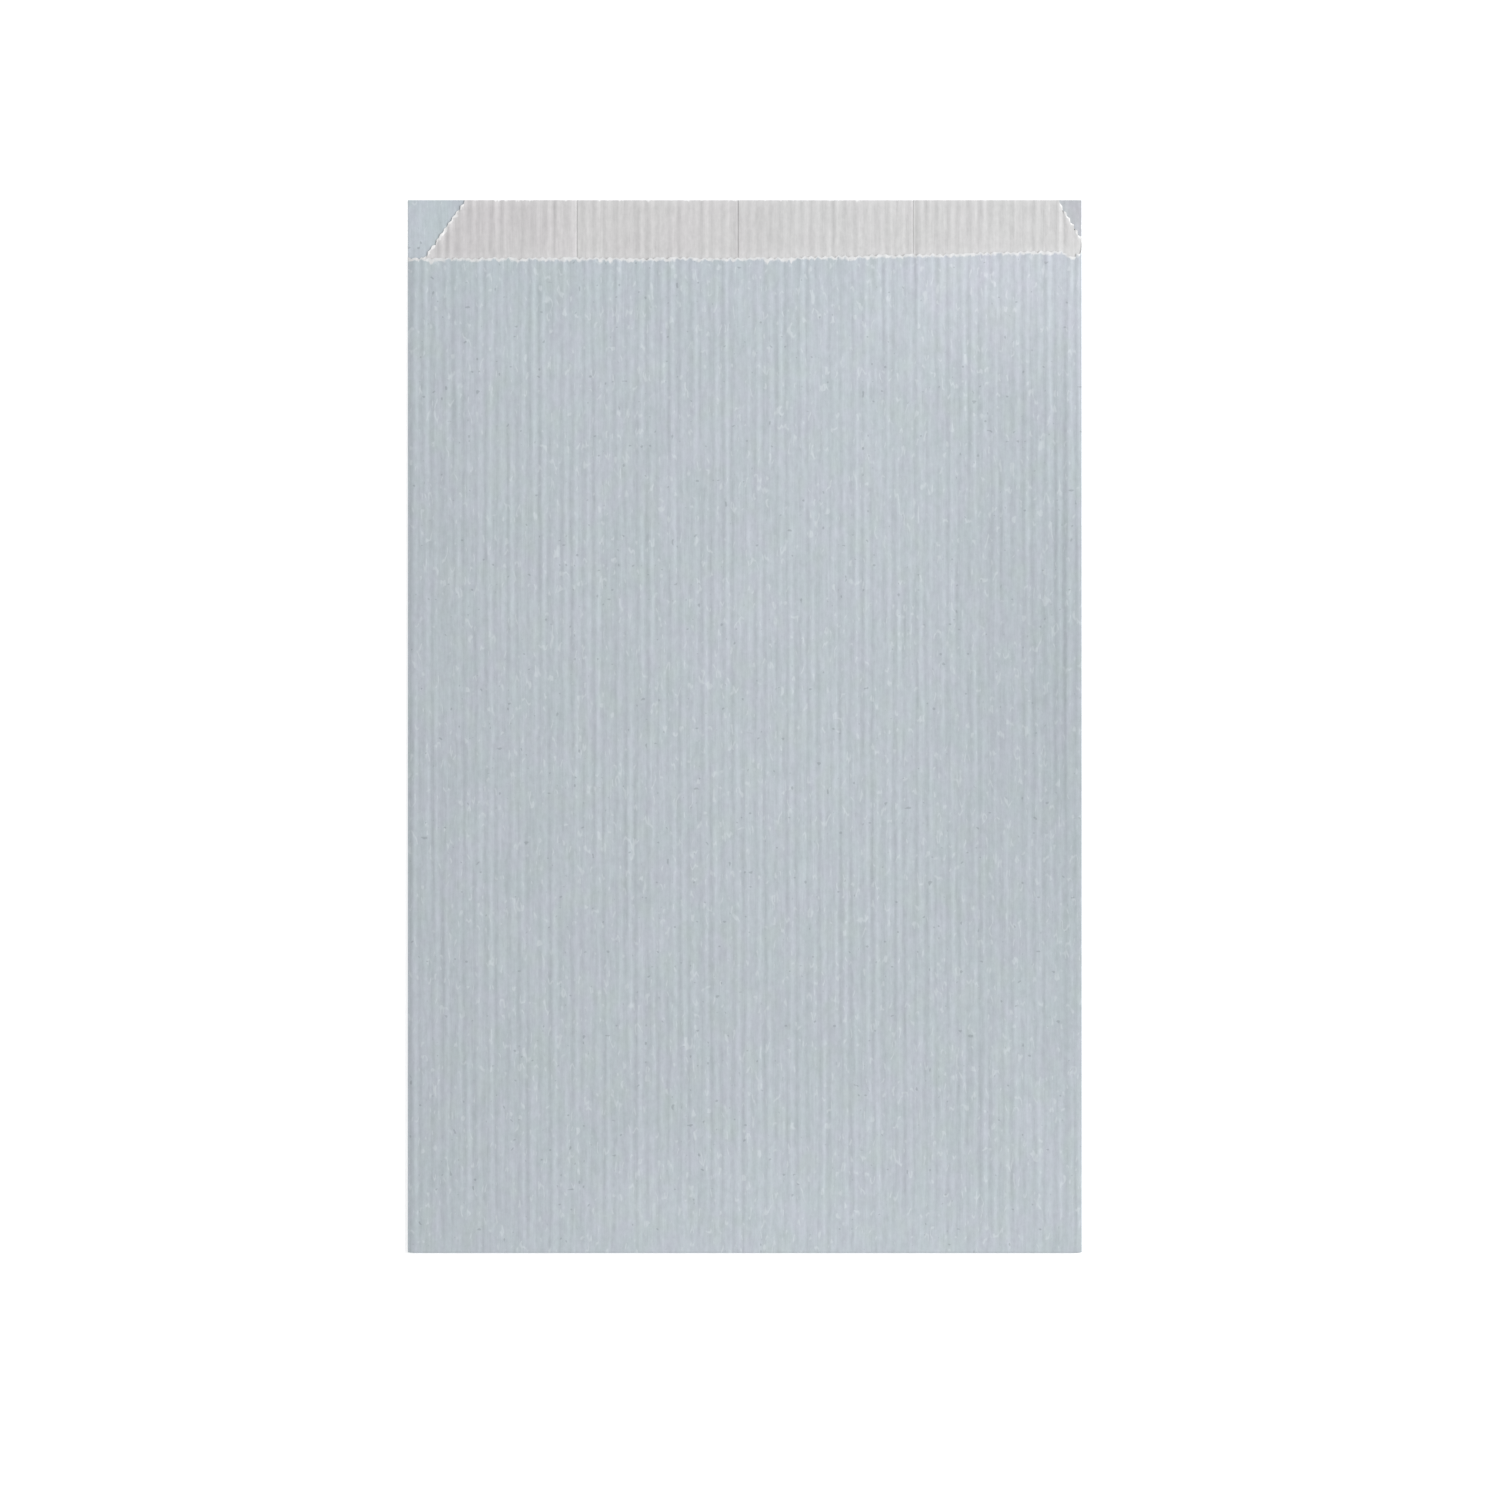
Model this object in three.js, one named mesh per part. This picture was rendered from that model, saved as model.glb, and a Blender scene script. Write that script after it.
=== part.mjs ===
// Flat paper bag with side gussets, folded from one blank of ribbed paper.
// Millimetres. The bag lies on its back with the front panel up (+Z) and its mouth towards +Y.
// The origin is on the surface it lies on, at the middle of its outline.
//
// The blank is described by u, measured across it, and v, measured along it from the bottom fold towards the
// mouth. Across u the paper runs: left half of the back, left gusset (back half, inner fold, front half),
// front panel, right gusset (front half, inner fold, back half), right half of the back. The two free edges
// lap at the middle of the back. Below v = 0 the whole flattened tube is turned up under the back and glued.
import * as THREE from 'three';

// The bag
const bagWidth = 160;
const bagLength = 250;
const gussetDepth = 40;
const flapStub = 6;             // turned-up bottom, behind the plies that are cut high
const flatStub = 5;             // the part of it that stays flat, before the longer plies rise to the back
const flapRise = 0.3;           // by how much they have risen where they end

// The paper
const paper = 0.09;
const ribPitch = 2.55;
const ribRelief = 0.06;
const ribFade = [1.2, 4];       // the press of the bottom fold flattens the ribs over these distances from it
const ribCreaseMargin = 0.6;    // ribs are crushed this near to a crease

// How tightly the plies lie on each other
const pressedGap = 0.04;
const mouthGap = 0.1;
const foldBore = 0.05;          // radius left open inside the bottom fold

// The back seam: the ply that shows inside comes from the right
const seamEdgeX = -1.5;
const seamLap = 12;
const seamRamp = 2;             // width over which the inner ply climbs onto the outer one

// The front panel sinks between the two gussets near the mouth
const drapeWidth = 7;

// The stepped knife, which sits a little to the right of the tube
const lipLeft = 13.9;           // height of the band of the back that shows, left and right
const lipRight = 12.4;
const leftFoot = 4.4;           // from the left edge of the bag to the slant's lower and upper ends
const leftHead = 14.1;
const notchStart = 4.9;         // the small notch in the front panel, from the right edge
const notchBottom = 2.3;
const notchDrop = 1.3;          // its depth below the lip
const nickLow = 11.9;           // the cut along the right crease, below the top of the back
const nickHigh = 8.7;
const rightHead = 5.5;          // from the right edge to the upper end of the slant
const toothPitch = 1.6;
const toothDepth = 0.45;

// Fineness of the curves
const creaseSteps = 4;
const bottomSteps = 4;
const ribsPerFlatColumn = 4;    // pressed paper needs a column only every few ribs
const leastStep = 0.02;         // the least distance in u between a column and a point of the knife's line

const halfWidth = bagWidth / 2;
const gussetX = halfWidth - gussetDepth;
const pressedPitch = paper + ribRelief + pressedGap;
const mouthPitch = paper + ribRelief + mouthGap;

const mix = (a, b, t) => a + (b - a) * t;
const smooth = (t) => THREE.MathUtils.smoothstep(t, 0, 1);

// The section across the bag, as the middle line of the paper, for plies that lie one pitch apart.
// Each run is straight between two creases. Level 0 is the back and level 3 the front.
function sectionRuns(pitch) {
  const bend = pitch / 2;
  const outer = halfWidth - paper / 2 - bend;   // centre of an outer crease
  const inner = gussetX + bend;                 // centre of an inner crease of a gusset
  return [
    { level: 0, from: seamEdgeX + seamLap, to: -outer },
    { level: 1, from: -outer, to: -inner },
    { level: 2, from: -inner, to: -outer },
    { level: 3, from: -outer, to: outer },
    { level: 2, from: outer, to: inner },
    { level: 1, from: inner, to: outer },
    { level: 0, from: outer, to: seamEdgeX },
  ];
}

// Height of the paper's middle line in a run. Only the mouth is slack enough for the front to sink.
function runHeight(run, index, x, pitch, sinks) {
  if (index === 3 && sinks) {
    const past = (gussetX - Math.abs(x)) / drapeWidth;
    return pitch * (run.level - smooth(past));
  }
  if (index === 6) {
    const climbed = (seamEdgeX + seamLap + seamRamp - x) / seamRamp;
    return pitch * THREE.MathUtils.clamp(climbed, 0, 1);
  }
  return pitch * run.level;
}

// Distances along a run at which the paper has a column of vertices, with the rib's side at each.
function runColumns(run, index, length, start) {
  const columns = [];
  const half = ribPitch / 2;
  const first = Math.ceil((start + ribCreaseMargin) / half);
  const last = Math.floor((start + length - ribCreaseMargin) / half);
  for (let k = first; k <= last; k++) {
    const flat = k % (2 * ribsPerFlatColumn) === 0;
    columns.push({ along: k * half - start, rib: k % 2 === 0 ? 1 : -1, flat });
  }
  if (index === 6) {
    const lapStart = run.from - (seamEdgeX + seamLap);
    columns.push({ along: lapStart - seamRamp, rib: 0, flat: true });
    columns.push({ along: lapStart, rib: 0, flat: true });
  }
  columns.push({ along: 0, rib: 0, flat: true });
  columns.push({ along: length, rib: 0, flat: true });
  columns.sort((a, b) => a.along - b.along);
  const tooNear = ribCreaseMargin / 2;
  return columns.filter((c, i) => c.rib === 0 || (
    c.along - columns[i - 1].along > (columns[i - 1].rib === 0 ? tooNear : 0) &&
    columns[i + 1].along - c.along > (columns[i + 1].rib === 0 ? tooNear : 0)));
}

// All columns of the blank. Each has its u, and a point and normal in the section at the bottom and the mouth.
const mouthRuns = sectionRuns(mouthPitch);
const pressedRuns = sectionRuns(pressedPitch);
const columns = [];
const runStart = [];
let blankWidth = 0;
mouthRuns.forEach((run, index) => {
  const way = Math.sign(run.to - run.from);
  const length = Math.abs(run.to - run.from);
  const pressed = pressedRuns[index];
  runStart.push(blankWidth);
  for (const { along, rib, flat } of runColumns(run, index, length, blankWidth)) {
    const x = run.from + way * along;
    const pressedX = mix(pressed.from, pressed.to, along / length);
    columns.push({
      u: blankWidth + along,
      rib,
      flat,
      mouth: { x, h: runHeight(run, index, x, mouthPitch, true), nx: 0, nh: way },
      pressed: { x: pressedX, h: runHeight(pressed, index, pressedX, pressedPitch, false), nx: 0, nh: way },
    });
  }
  blankWidth += length;
  const next = mouthRuns[index + 1];
  if (!next) return;
  const rise = next.level - run.level;
  const bend = (runs, pitch, turn) => ({
    x: runs[index].to + way * Math.sin(turn) * pitch / 2,
    h: pitch * mix(run.level, next.level, (1 - Math.cos(turn)) / 2),
    nx: -rise * Math.sin(turn),
    nh: way * Math.cos(turn),
  });
  for (let step = 1; step < creaseSteps; step++) {
    const turn = Math.PI * step / creaseSteps;
    columns.push({
      u: blankWidth + turn * mouthPitch / 2,
      rib: 0,
      flat: true,
      mouth: bend(mouthRuns, mouthPitch, turn),
      pressed: bend(pressedRuns, pressedPitch, turn),
    });
  }
  blankWidth += Math.PI * mouthPitch / 2;
});

// Where the bag lies: the turned-up bottom and the mouth of the back both touch the surface.
const foldAxis = -paper / 2 - foldBore;
const foldRadius = 3 * pressedPitch + paper / 2 - foldAxis;
const axisY = -bagLength / 2 + foldRadius;
const axisZ = foldRadius;
const mouthBase = (paper + ribRelief) / 2;
const panelLength = bagLength - foldRadius;

// The paper's outer (side 1) or inner (side -1) face at a column, in both sections.
function faceAt(column, side, ribbed) {
  const lift = (ribbed ? column.rib * ribRelief / 2 : 0) + side * paper / 2;
  const { mouth, pressed } = column;
  return {
    mouthX: mouth.x + lift * mouth.nx,
    mouthZ: mouthBase + mouth.h + lift * mouth.nh,
    pressedX: pressed.x + lift * pressed.nx,
    radius: pressed.h + lift * pressed.nh - foldAxis,
  };
}

function faceAtU(u, side, ribbed) {
  let i = columns.findIndex((c) => c.u >= u - 1e-9);
  if (Math.abs(columns[i].u - u) < 1e-9) return faceAt(columns[i], side, ribbed);
  i -= 1;
  const t = (u - columns[i].u) / (columns[i + 1].u - columns[i].u);
  const a = faceAt(columns[i], side, ribbed);
  const b = faceAt(columns[i + 1], side, ribbed);
  return Object.fromEntries(Object.keys(a).map((key) => [key, mix(a[key], b[key], t)]));
}

const onPanel = (face, v) => {
  const t = v / panelLength;
  return [mix(face.pressedX, face.mouthX, t), axisY + v, mix(axisZ + face.radius, face.mouthZ, t)];
};
const onBottomFold = (face, turn) => [
  face.pressedX,
  axisY - face.radius * Math.sin(turn),
  axisZ + face.radius * Math.cos(turn),
];
const onFlap = (face, reach) => {
  const rise = flapRise * Math.max(0, reach - flatStub) / (flapStub + lipLeft - flatStub);
  return [face.pressedX, axisY + reach, axisZ - face.radius + rise];
};

// The knife's line: [u, depth below the top of the back]. It cuts the mouth, and a bag length further on it
// cuts the bottom of the next bag, so the same line shapes the end of the turned-up bottom.
function serrate(from, to) {
  const length = Math.hypot(to[0] - from[0], to[1] - from[1]);
  const teeth = Math.max(1, Math.round(length / toothPitch));
  const across = [(from[1] - to[1]) / length, (to[0] - from[0]) / length];
  const points = [from];
  for (let k = 0; k < teeth; k++) {
    const middle = (k + 0.5) / teeth;
    points.push([
      mix(from[0], to[0], middle) + across[0] * toothDepth,
      mix(from[1], to[1], middle) + across[1] * toothDepth,
    ]);
    if (k < teeth - 1) {
      const tip = (k + 1) / teeth;
      points.push([mix(from[0], to[0], tip), mix(from[1], to[1], tip)]);
    }
  }
  return points;
}

function knifeLine() {
  const uIn = (index, x) => runStart[index] + Math.abs(x - mouthRuns[index].from);
  const frontEnd = runStart[3] + mouthRuns[3].to - mouthRuns[3].from;
  const corners = [
    [uIn(2, -halfWidth + leftHead), 0],
    [uIn(2, -halfWidth + leftFoot), lipLeft],
    [uIn(3, halfWidth - notchStart), lipRight],
    [uIn(3, halfWidth - notchBottom), lipRight + notchDrop],
    [frontEnd, nickLow],
    [runStart[4], nickHigh],
    [uIn(4, halfWidth - rightHead), 0],
  ];
  const line = [[0, 0]];
  for (let i = 0; i < corners.length - 1; i++) {
    const alongCrease = corners[i][0] === frontEnd;
    line.push(...(alongCrease ? [corners[i]] : serrate(corners[i], corners[i + 1])));
  }
  line.push(corners[corners.length - 1], [blankWidth, 0]);
  return line;
}

// The knife's line with a point wherever it crosses one of the given columns.
function cutAt(line, rails) {
  const clear = ([u]) => rails.every((rail) => Math.abs(rail - u) > leastStep);
  const points = line.filter(clear).map(([u, depth]) => ({ u, depth }));
  for (const u of rails) {
    const i = Math.max(1, line.findIndex((p) => p[0] >= u - leastStep));
    const t = (u - line[i - 1][0]) / (line[i][0] - line[i - 1][0]);
    points.push({ u, depth: mix(line[i - 1][1], line[i][1], t) });
  }
  return points.sort((p, q) => p.u - q.u);
}

const position = [];
const triangles = [];

function row(points, ribbed, place) {
  return points.map(({ u, v }) => {
    const both = [1, -1].map((side) => {
      position.push(...place(faceAtU(u, side, ribbed), v));
      return position.length / 3 - 1;
    });
    return { u, v, outer: both[0], inner: both[1] };
  });
}

// Fills the paper between two rows, one cell at a time between the columns that both rows share.
function fill(upper, lower, rails, straight) {
  for (let i = 0; i < rails.length - 1; i++) {
    const inCell = (p) => p.u >= rails[i] - 1e-9 && p.u <= rails[i + 1] + 1e-9;
    const top = upper.filter(inCell);
    const bottom = lower.filter(inCell);
    const cell = straight ? zip(top, bottom) : cutCell(top, bottom);
    for (const [a, b, c] of cell) {
      triangles.push(a.outer, b.outer, c.outer);
      triangles.push(c.inner, b.inner, a.inner);
    }
  }
}

function zip(top, bottom) {
  const cell = [];
  let i = 0;
  let j = 0;
  while (i < top.length - 1 || j < bottom.length - 1) {
    const takeTop = j === bottom.length - 1 || (i < top.length - 1 && top[i + 1].u < bottom[j + 1].u);
    if (takeTop) {
      cell.push([bottom[j], top[i + 1], top[i]]);
      i += 1;
    } else {
      cell.push([bottom[j], bottom[j + 1], top[i]]);
      j += 1;
    }
  }
  return cell;
}

function cutCell(top, bottom) {
  const loop = [...bottom, ...[...top].reverse()];
  const contour = loop.map((p) => new THREE.Vector2(p.u, p.v));
  return THREE.ShapeUtils.triangulateShape(contour, []).map((face) => face.map((k) => loop[k]));
}

function wall(points, forward) {
  for (let i = 0; i < points.length - 1; i++) {
    const [p, q] = forward ? [points[i], points[i + 1]] : [points[i + 1], points[i]];
    triangles.push(p.outer, q.outer, q.inner);
    triangles.push(p.outer, q.inner, p.inner);
  }
}

function foldBag() {
  const knife = knifeLine();
  const allRails = columns.map((c) => c.u);
  const flatRails = columns.filter((c) => c.flat).map((c) => c.u);
  const level = (rails, v) => rails.map((u) => ({ u, v }));

  const mouth = cutAt(knife, allRails).map(({ u, depth }) => ({ u, v: panelLength - depth }));
  const rows = [
    row(mouth, true, onPanel),
    row(level(allRails, ribFade[1]), true, onPanel),
    row(level(flatRails, ribFade[0]), false, onPanel),
  ];
  for (let step = 0; step <= bottomSteps; step++) {
    const turn = Math.PI * step / bottomSteps;
    rows.push(row(level(flatRails, 0), false, (face) => onBottomFold(face, turn)));
  }
  rows.push(row(level(flatRails, -flatStub), false, (face, v) => onFlap(face, -v)));
  const flapEnd = cutAt(knife, flatRails).map(({ u, depth }) => ({ u, v: -flapStub - depth }));
  rows.push(row(flapEnd, false, (face, v) => onFlap(face, -v)));

  fill(rows[0], rows[1], allRails, false);
  for (let i = 1; i < rows.length - 2; i++) fill(rows[i], rows[i + 1], flatRails, true);
  fill(rows[rows.length - 2], rows[rows.length - 1], flatRails, false);

  wall(rows[0], true);
  wall(rows[rows.length - 1], false);
  wall(rows.map((r) => r[0]), false);
  wall(rows.map((r) => r[r.length - 1]), true);

  const geometry = new THREE.BufferGeometry();
  geometry.setAttribute('position', new THREE.Float32BufferAttribute(position, 3));
  geometry.setIndex(triangles);
  geometry.computeVertexNormals();
  return geometry;
}

const printedPaper = new THREE.MeshStandardMaterial({ color: 0xbac3ca, roughness: 0.72, metalness: 0.05 });
const bag = new THREE.Mesh(foldBag(), printedPaper);
bag.name = 'paper_bag';

const model = new THREE.Group();
model.add(bag);

export default model;
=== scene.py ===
# Flat paper bag with side gussets: its paper, print and cut edges, lying on a pale floor under soft light.
import math

import bpy
import numpy as np
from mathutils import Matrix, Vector


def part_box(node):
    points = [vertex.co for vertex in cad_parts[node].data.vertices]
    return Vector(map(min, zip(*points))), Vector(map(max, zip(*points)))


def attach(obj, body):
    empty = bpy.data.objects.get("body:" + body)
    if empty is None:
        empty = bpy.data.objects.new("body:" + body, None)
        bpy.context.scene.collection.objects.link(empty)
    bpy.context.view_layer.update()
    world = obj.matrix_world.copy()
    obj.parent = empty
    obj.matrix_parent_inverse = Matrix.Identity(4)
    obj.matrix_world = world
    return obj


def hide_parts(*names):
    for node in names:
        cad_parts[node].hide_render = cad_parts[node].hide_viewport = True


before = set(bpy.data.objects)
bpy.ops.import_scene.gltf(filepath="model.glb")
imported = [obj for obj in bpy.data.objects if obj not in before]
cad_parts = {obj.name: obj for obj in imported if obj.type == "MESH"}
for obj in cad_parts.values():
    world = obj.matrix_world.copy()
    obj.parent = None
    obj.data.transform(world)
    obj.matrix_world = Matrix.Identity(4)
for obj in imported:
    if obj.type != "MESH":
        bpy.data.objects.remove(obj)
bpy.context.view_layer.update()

bag_low, bag_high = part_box("paper_bag")

MM = 0.001

# Sizes in millimetres. The outline comes from the frame and the rest repeats the bag's own dimensions.
half_width = (bag_high[0] - bag_low[0]) / 2 / MM
bag_bottom = bag_low[1] / MM
bag_length = (bag_high[1] - bag_low[1]) / MM
gusset_depth = 40
gusset_x = half_width - gusset_depth
flap_stub = 6            # turned-up bottom, behind the plies that are cut high
seam_edge_x = -1.5       # edge of the ply of the back that shows inside
seam_lap = 12
seam_ramp = 2            # width over which that ply climbs onto the outer one
seam_room = 0.4          # it is up by this much before it meets the outer ply's edge

# How the plies lie. The small gaps between them keep the closed mesh clear of itself.
paper = 0.06
pressed_pitch = 0.125    # from ply to ply at the bottom fold
mouth_pitch = 0.16       # and at the mouth
loosening = 0.8          # power of the distance from the fold at which the one becomes the other
seam_pitch = 0.1         # where the lap of the back is glued
fold_bore = 0.05         # radius left open inside the bottom fold
edge_press = (0.38, 0.25)   # the plies lie closer by this share at the left and right creases
fold_press = 0.42        # and those of a gusset by this share at its inner fold
edge_roll = 0.85         # over about this distance from the creases
front_sink = 0.28        # the front sinks between the gussets by this share of a pitch
sink_steps = ((0.55, 1.1), (0.45, 6))   # in two steps: (share, width from the gusset's fold)
slack_reach = 45         # the bottom fold keeps the plies flat over this distance
back_stand = 0.17        # between the gussets the back isn't pressed down, and stands this high
back_ramp = 0.28         # it rises over this width, which starts under the gusset's fold
back_tuck = 0.03
back_free = (-60, 20)    # y from which the back begins to stand, and where it stands fully
flap_drop = 0.2          # the longer plies of the turned-up bottom fall by this share of a pitch
flap_ramp = (0.6, 3.5)   # which starts this far behind the shorter ones, and takes this long

# Soft waves of the whole bag, as layers of noise: (height, cell across, cell along, seed)
sag_height = 0.40
SAG_WAVES = ((0.34, 52, 74, 21), (0.06, 24, 38, 22))
sag_margins = (22, 26)   # they end over these distances from the sides and from the mouth

# The soft ridge beside the front's right edge
ridge_x = half_width - 3.5
ridge_height = 0.11
ridge_width = 0.62
ridge_ends = (-40, 108)  # y of its ends
ridge_fades = (60, 20)   # and how slowly it rises from them

# The ribs that the paper is rolled with: (pitch, height, place of one crest from the middle of the front,
# drift to the right for each millimetre towards the mouth). The finer sets beat with the main one.
RIB_SETS = (
    (2.550, 0.031, -1.42, 0.0),
    (1.826, 0.0110, -0.52, -0.0062),
    (1.511, 0.0038, -0.10, 0.0),
)
# What makes them uneven, as layers of noise: (amount, cell across, cell along, seed)
RIB_STRENGTH = ((0.55, 2.6, 34, 12), (0.25, 5, 12, 13))
RIB_WANDER = ((0.10, 5, 28, 15),)
STRAY_RIBS = ((0.005, 0.9, 24, 14),)
ribs_at_level = (1, 0.2, 0.25, 1)   # share of their height that is left in each ply, from the back up
band_ribs = (0.4, 0.1, 1.2, 0, 1.2, 0.1, 0.4)   # what each run gets back where it shows above the lip
lap_ribs = (0.1, 0.5)    # share that is left in the glued lap, in its outer and its inner ply
band_fade = (0.5, 2)     # they come back from this far below the lip, over this distance
crease_crush = (0.15, 0.9)   # none are left this near to a crease, and they come back over this distance
bottom_crush = (1, 4)    # and the same for the bottom fold
fold_shade = 1.0         # the back has none under a gusset's fold, over about this width

# The stepped knife: depth of the cut below the top of the back, and distances from the bag's edges
lip_left = 13.65
lip_right = 12.0
lip_bend_x = 3.0         # the lip runs level from the left to here, and then rises to the right
left_foot = 3.75
left_head = 13.45
notch_start = 4.9
notch_bottom = 2.3
notch_depth = 13.6
nick_low = 11.9
nick_high = 8.7
right_head = 5.5
tooth_pitch = 1.6
tooth_depth = 0.45
tooth_shape = (0, 0.55, 1, 0.45)   # one tooth in equal steps along the cut
tooth_spread = (0.3, 1.3)          # least and greatest depth, as shares
slant_teeth = 0.95       # the teeth on the gussets' slants are smaller by this factor

# The front's lip wanders and lifts a little, by layers of noise: (amount, cell, cell, seed)
LIP_WANDER = ((0.24, 1.3, 40, 33),)
LIP_CURL = ((0.05, 2.3, 50, 31),)
curl_height = 0.05
curl_reach = 0.8         # distance from the cut over which it lies down again

# The white fringe of the cut
fringe_tears = (-74.5, -34.3, -31.9, 5.3, 11.1)   # places on the lip where it is torn deeper
tear_depth = 1.1
tear_width = 0.32
clean_cut = 1.4          # by which it is narrower on the straight cuts, which leave none
toothed_from = 1.2       # a cut deeper than this has the whole fringe
thin_slant = 0.45        # by which it is narrower on the right slant

# Spacing of the mesh's columns: fine where ribs or teeth show, coarse where plies are hidden
tooth_step = tooth_pitch / len(tooth_shape)
back_step = RIB_SETS[0][0] / 5
hidden_step = 2.4
close_step = 0.2
bend_steps = 6
near_fold = (2, 0.6)     # the back's columns are close this far inside and outside a gusset's fold
left_bared = 16          # from the left edge, width over which the gusset's lower ply can show
right_bared = 8          # and from the right edge
guards = (0.1, 0.35)     # distances of the extra columns from a crease
guard_gap = 0.06         # they are left out where another column is as near

# Broad patches of painted light and shade, which stand in for the paper's soft tilt to the light, some with
# a change of the print's hue: (level of the ply, middle, spread, change of each colour)
PAINTED_LIGHT_AND_HUE_PATCHES = (
    (3, (77, 6), (27, 84), (-0.15, -0.142, -0.142)),
    (3, (-62, 0), (26, 56), (-0.012, -0.012, -0.012)),
    # painted shade along the left crease, where the front rolls away from the light
    (3, (-79.5, 0), (0.4, 150), (-0.08, -0.08, -0.08)),
    (3, (8, -122), (70, 26), (0.07, 0.07, 0.07)),
    (3, (62, 108), (26, 20), (0.137, 0.094, 0.11)),
    (3, (-66, 104), (24, 20), (0.015, 0.019, 0.021)),
    (2, (-70, 118), (34, 30), (0.002, -0.010, -0.002)),
    (2, (64, 118), (40, 30), (0.0, 0.013, 0.010)),
    (1, (78, 123), (14, 14), (-0.03, -0.085, -0.10)),
    (1, (-77, 118), (10, 14), (0.07, 0.075, 0.075)),
    (0, (24, 118), (24, 30), (0.003, 0.012, 0.013)),
)

gusset_painted_light = (0.13, 0.3)   # painted light: the gussets' inner folds are made paler by this share, over this width, against their shading
bottom_painted_light = (0.07, 0.45)  # and the front along the bottom fold gets painted light in the same way

SILVER_BLUE = (0.466, 0.523, 0.552, 1)
SILVER_MAUVE = (0.484, 0.518, 0.570, 1)
SILVER_GREEN = (0.468, 0.530, 0.532, 1)
PALE_FIBRE = (0.60, 0.65, 0.68, 1)
DARK_SPECK = (0.22, 0.25, 0.27, 1)
PRINT_FRINGE = (0.77, 0.77, 0.77, 1)
INSIDE_GREY = (0.586, 0.581, 0.580, 1)
INSIDE_PINK = (0.591, 0.580, 0.584, 1)
INSIDE_FRINGE = (0.84, 0.84, 0.84, 1)
INSIDE_LINT = (0.78, 0.78, 0.78, 1)
CUT_FLUFF = (0.74, 0.74, 0.73, 1)

# Places of the materials on the mesh
PRINT, INSIDE, CUT_EDGE = range(3)

rng = np.random.default_rng(7)


def smooth(t):
    """0 below 0, 1 above 1, and an even S between."""
    t = np.clip(t, 0, 1)
    return t * t * (3 - 2 * t)


def soft_noise(a, b, cell_a, cell_b, seed):
    """Smooth random values from -1 to 1 over a lattice of the given cell sizes."""
    size = 257
    shift = 1000.0
    lattice = np.random.default_rng(seed).uniform(-1, 1, (size, size))
    a = np.asarray(a / cell_a + shift)
    b = np.asarray(b / cell_b + shift)
    ia, ib = np.floor(a).astype(int), np.floor(b).astype(int)
    fa, fb = smooth(a - ia), smooth(b - ib)

    def corner(i, j):
        return lattice[(ia + i) % size, (ib + j) % size]

    near = corner(0, 0) * (1 - fa) + corner(1, 0) * fa
    far = corner(0, 1) * (1 - fa) + corner(1, 1) * fa
    return near * (1 - fb) + far * fb


def layered(a, b, layers):
    """Sum of layers of soft noise: (amount, cell along a, cell along b, seed)."""
    return sum(amount * soft_noise(a, b, *cells, seed) for amount, *cells, seed in layers)


# The paper's way across the bag: seven straight runs between six creases. The ends of a run are given as
# (distance from the middle, share of a ply pitch that the crease's bend takes off it, side).
outer_crease = (half_width - paper / 2, -0.5)
inner_crease = (gusset_x, 0.5)
outer_ply_edge = (seam_edge_x + seam_lap, 0)
inner_ply_edge = (seam_edge_x, 0)

RUNS = [
    {"level": 0, "start": (*outer_ply_edge, 1), "end": (*outer_crease, -1)},
    {"level": 1, "start": (*outer_crease, -1), "end": (*inner_crease, -1)},
    {"level": 2, "start": (*inner_crease, -1), "end": (*outer_crease, -1)},
    {"level": 3, "start": (*outer_crease, -1), "end": (*outer_crease, 1)},
    {"level": 2, "start": (*outer_crease, 1), "end": (*inner_crease, 1)},
    {"level": 1, "start": (*inner_crease, 1), "end": (*outer_crease, 1)},
    {"level": 0, "start": (*outer_crease, 1), "end": (*inner_ply_edge, 1)},
]
FRONT_RUN = 3
RIGHT_SLANT_RUN = 4
INNER_SEAM_RUN = 6


def end_x(end, pitch):
    distance, bend_share, side = end
    return side * (distance + bend_share * pitch)


def knife_stops():
    """For each run, the knife's corners on it: (x, depth, spacing of columns up to the next, serrated)."""
    def start(i):
        return end_x(RUNS[i]["start"], mouth_pitch)

    def end(i):
        return end_x(RUNS[i]["end"], mouth_pitch)

    return [
        [
            (start(0), 0, back_step, False),
            (-gusset_x + near_fold[0], 0, close_step, False),
            (-gusset_x - near_fold[1], 0, hidden_step, False),
            (end(0), 0, 0, False),
        ],
        [
            (start(1), 0, hidden_step, False),
            (-half_width + left_bared, 0, back_step, False),
            (end(1), 0, 0, False),
        ],
        [
            (start(2), 0, back_step, False),
            (-half_width + left_head, 0, tooth_step, True),
            (-half_width + left_foot, lip_left, tooth_step, True),
            (end(2), lip_left, 0, False),
        ],
        [
            (start(3), lip_left, tooth_step, True),
            (lip_bend_x, lip_left, tooth_step, True),
            (half_width - notch_start, lip_right, tooth_step, True),
            (half_width - notch_bottom, notch_depth, tooth_step, True),
            (end(3), nick_low, 0, False),
        ],
        [
            (start(4), nick_high, tooth_step, True),
            (half_width - right_head, 0, back_step, False),
            (end(4), 0, 0, False),
        ],
        [
            (start(5), 0, hidden_step, False),
            (half_width - right_bared, 0, back_step, False),
            (end(5), 0, 0, False),
        ],
        [
            (start(6), 0, hidden_step, False),
            (gusset_x + near_fold[1], 0, close_step, False),
            (gusset_x - near_fold[0], 0, back_step, False),
            (end(6), 0, 0, False),
        ],
    ]


def beside_creases(rows):
    """The columns of one run with more close to its ends, so that a crease's round shading stops there."""
    fields = np.array(rows, float)
    u = fields[:, 3]
    wanted = [u[0] + guard for guard in guards] + [u[-1] - guard for guard in guards]
    added = [at for at in wanted if np.min(np.abs(u - at)) > guard_gap]
    every = np.sort(np.concatenate([u, added]))
    return np.stack([np.interp(every, u, field) for field in fields.T], axis=1).tolist()


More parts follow.
